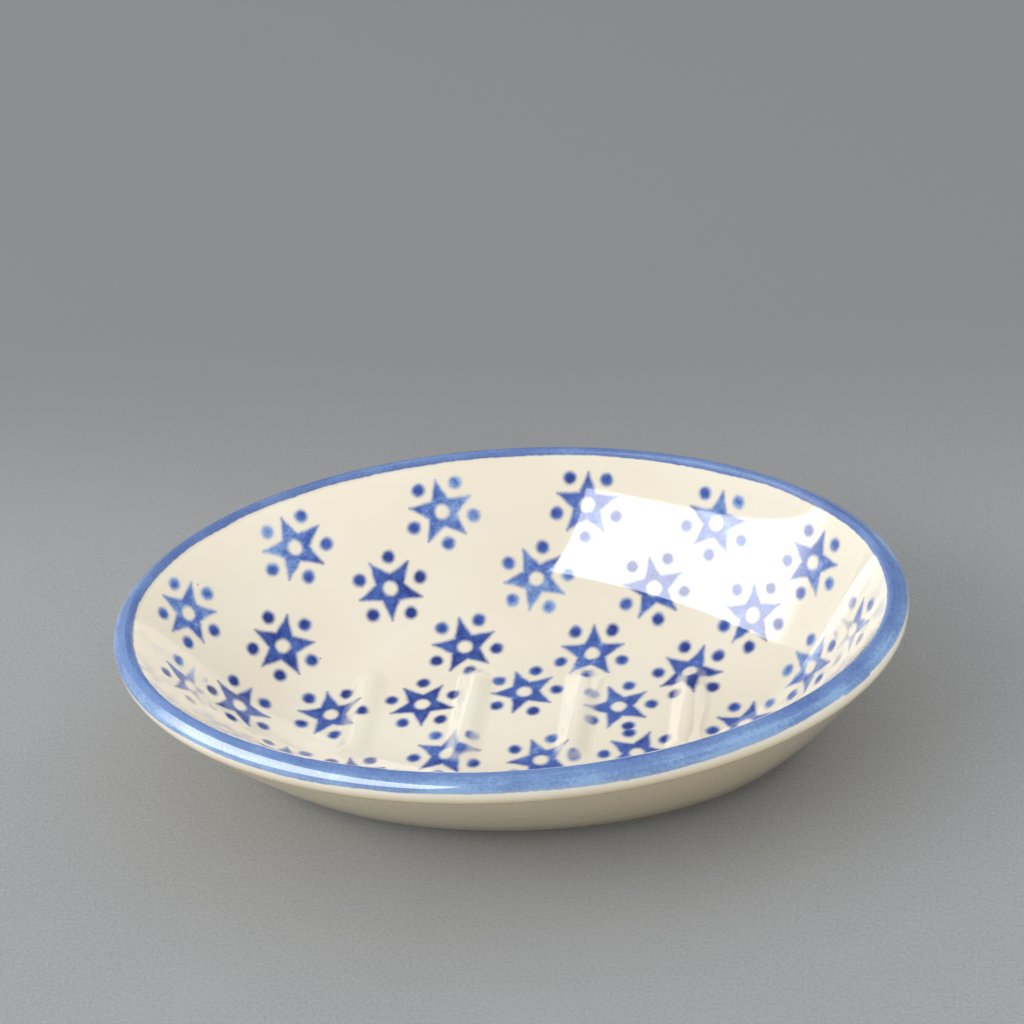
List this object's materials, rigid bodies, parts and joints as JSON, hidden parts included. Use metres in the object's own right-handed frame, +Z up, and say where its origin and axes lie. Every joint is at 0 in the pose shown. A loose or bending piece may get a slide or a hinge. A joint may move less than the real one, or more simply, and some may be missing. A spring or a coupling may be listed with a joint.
{
  "type": "soap dish",
  "caption": "Shallow oval glazed pottery soap dish with a rolled rim, a low foot ring and soap ribs across its floor, free-standing on a basin or shelf.",
  "frame": {"origin": "on the surface the dish stands on, under the middle of the oval", "axes": "+X along the dish's length, +Y across it, parallel to the ribs, +Z up out of the bowl"},
  "size_m": [0.15, 0.1014, 0.033],
  "materials": {
    "cream_glaze": "clear glossy glaze on cream earthenware, with blue sponge-stamped stars inside",
    "blue_band_glaze": "brushed blue band under a clear glossy glaze, cream below it",
    "bare_clay": "unglazed fired clay, dry and matt"
  },
  "bodies": {
    "root": {"bowl": "cream_glaze", "rolled_rim": "blue_band_glaze", "foot_ring": "bare_clay", "soap_rib_1": "cream_glaze", "soap_rib_2": "cream_glaze", "soap_rib_3": "cream_glaze", "soap_rib_4": "cream_glaze"}
  },
  "joints": []
}
